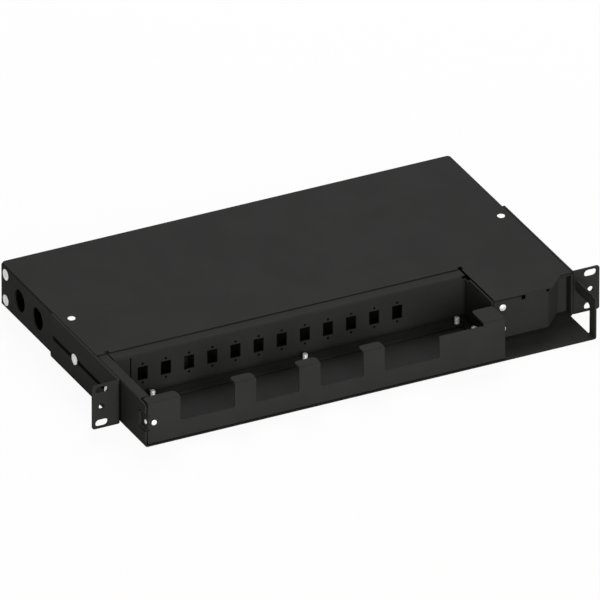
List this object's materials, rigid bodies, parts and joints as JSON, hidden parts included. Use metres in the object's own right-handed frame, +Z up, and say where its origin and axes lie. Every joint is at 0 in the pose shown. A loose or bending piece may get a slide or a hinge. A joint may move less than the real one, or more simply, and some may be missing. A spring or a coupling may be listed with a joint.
{
  "type": "fibre patch drawer",
  "caption": "One-unit rack drawer of folded black sheet: a sliding enclosure in slotted ear brackets, with an open front tray, a row of adapter ports and a fingered guard.",
  "frame": {"origin": "centre of the four rack-ear slots, on the ears' rear face, which meets the rack's rails", "axes": "+X along the rack's width to the right as seen from the front, +Y to the rear, +Z up"},
  "size_m": [0.4826, 0.2819, 0.0434],
  "materials": {
    "black_powder_coat": "fine matt texture",
    "zinc_plated_steel": "bright zinc plate",
    "black_plastic": "moulded, satin",
    "grey_plastic": "moulded, satin",
    "white_plastic": "moulded, satin",
    "clear_plastic": "clear, smooth"
  },
  "bodies": {
    "rack_brackets": {"bracket_left": "black_powder_coat", "bracket_right": "black_powder_coat"},
    "drawer": {"base_shell": "black_powder_coat", "cover": "black_powder_coat", "box_side_wall": "black_powder_coat", "adapter_plate": "black_powder_coat", "front_guard": "black_powder_coat", "rear_panel": "black_powder_coat", "guide_screws_right": "zinc_plated_steel", "guide_screws_left": "zinc_plated_steel", "guide_nuts": "zinc_plated_steel", "cover_screws": "zinc_plated_steel", "cover_nuts": "zinc_plated_steel", "apron_screws": "zinc_plated_steel", "apron_nuts": "zinc_plated_steel", "floor_screw": "zinc_plated_steel", "plate_studs": "zinc_plated_steel", "guard_face_screw": "zinc_plated_steel", "guard_side_screw": "zinc_plated_steel", "guard_rivets": "zinc_plated_steel", "rear_panel_screws": "zinc_plated_steel", "rear_panel_nuts": "zinc_plated_steel", "cassette_stud": "zinc_plated_steel", "cable_tie_bridges": "zinc_plated_steel", "guard_corner_block": "black_plastic", "fibre_guides": "black_plastic", "cassette_nut": "black_plastic", "splice_cassette": "grey_plastic", "splice_combs": "white_plastic", "splice_cassette_lid": "clear_plastic"}
  },
  "joints": [
    {"name": "drawer_slide", "type": "slide", "parent": "rack_brackets", "child": "drawer", "axis": [0, -1, 0], "range_m": [-0.0416, 0]}
  ]
}
